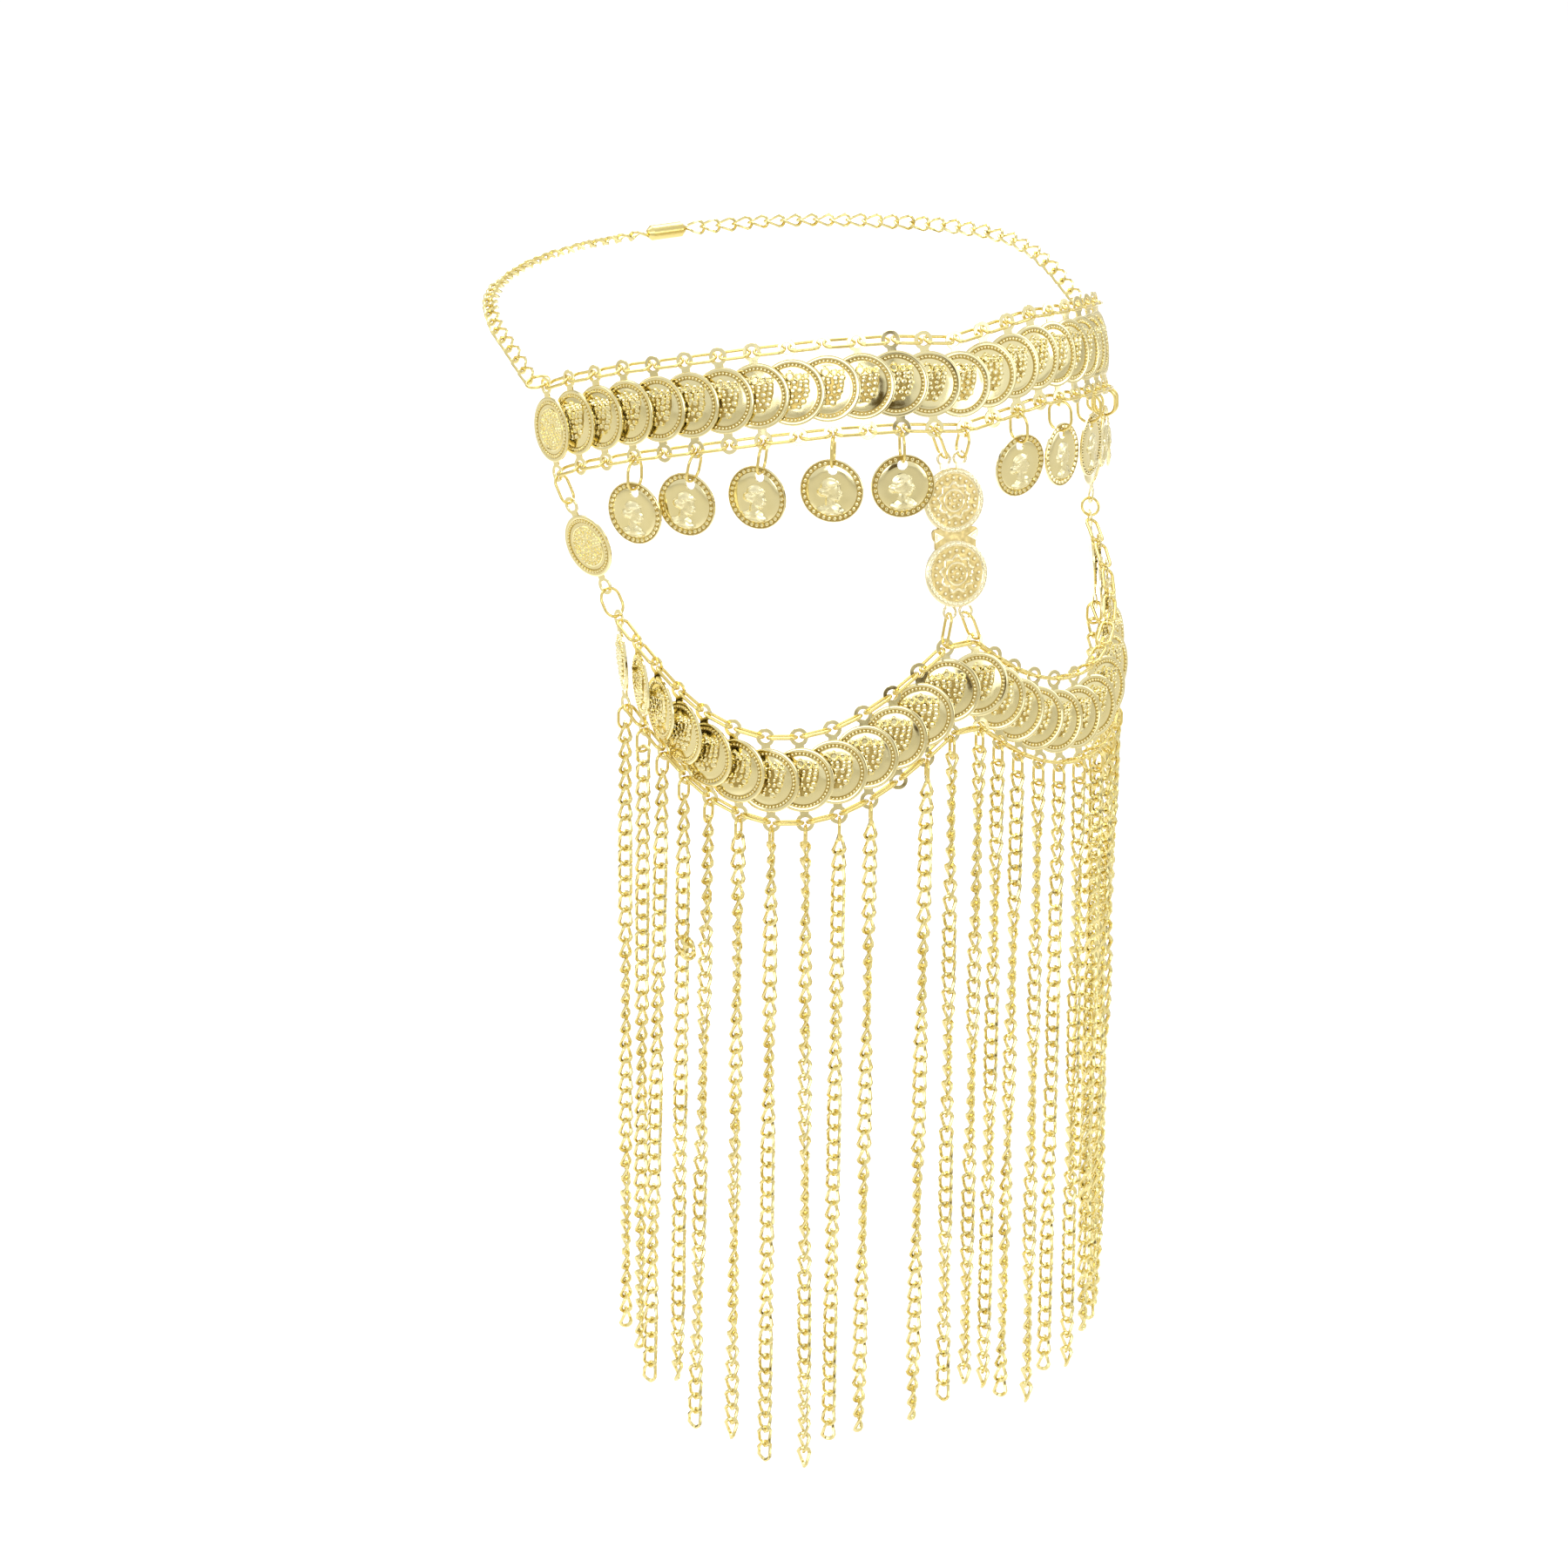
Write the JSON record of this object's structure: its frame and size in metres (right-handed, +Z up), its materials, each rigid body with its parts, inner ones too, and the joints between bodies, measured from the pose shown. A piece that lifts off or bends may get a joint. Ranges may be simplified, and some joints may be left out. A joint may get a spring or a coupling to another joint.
{
  "type": "coin face veil headdress",
  "caption": "Gold coin face veil: a forehead band and a cheek band of overlapping coins joined by a nose piece and side coins, with drop coins, a long chain fringe and a back chain.",
  "frame": {"origin": "centre of the forehead band's oval, where the head sits", "axes": "+Z up, the face looks towards -Y, +X is the wearer's left"},
  "size_m": [0.1752, 0.181, 0.321],
  "materials": {
    "coin_gold": "polished",
    "wire_gold": "polished",
    "chain_gold": "polished"
  },
  "bodies": {
    "root": {"headband_coins": "coin_gold", "cheekband_coins": "coin_gold", "drop_coin_01": "coin_gold", "drop_coin_02": "coin_gold", "drop_coin_03": "coin_gold", "drop_coin_04": "coin_gold", "drop_coin_05": "coin_gold", "drop_coin_06": "coin_gold", "drop_coin_07": "coin_gold", "drop_coin_08": "coin_gold", "drop_coin_09": "coin_gold", "drop_coin_10": "coin_gold", "side_coin_right": "coin_gold", "side_coin_left": "coin_gold", "nose_piece": "coin_gold", "headband_upper_links": "wire_gold", "headband_lower_links": "wire_gold", "cheekband_upper_links": "wire_gold", "cheekband_lower_links": "wire_gold", "drop_rings": "wire_gold", "nose_rings": "wire_gold", "side_links_right": "wire_gold", "side_links_left": "wire_gold", "fringe_rings": "wire_gold", "back_rings": "wire_gold", "fringe_chain_01": "chain_gold", "fringe_chain_02": "chain_gold", "fringe_chain_03": "chain_gold", "fringe_chain_04": "chain_gold", "fringe_chain_05": "chain_gold", "fringe_chain_06": "chain_gold", "fringe_chain_07": "chain_gold", "fringe_chain_08": "chain_gold", "fringe_chain_09": "chain_gold", "fringe_chain_10": "chain_gold", "fringe_chain_11": "chain_gold", "fringe_chain_12": "chain_gold", "fringe_chain_13": "chain_gold", "fringe_chain_14": "chain_gold", "fringe_chain_15": "chain_gold", "fringe_chain_16": "chain_gold", "fringe_chain_17": "chain_gold", "fringe_chain_18": "chain_gold", "fringe_chain_19": "chain_gold", "fringe_chain_20": "chain_gold", "fringe_chain_21": "chain_gold", "fringe_chain_22": "chain_gold", "fringe_chain_23": "chain_gold", "fringe_chain_24": "chain_gold", "fringe_chain_25": "chain_gold", "back_chain_right": "chain_gold", "back_chain_left": "chain_gold", "clasp": "chain_gold"}
  },
  "joints": []
}
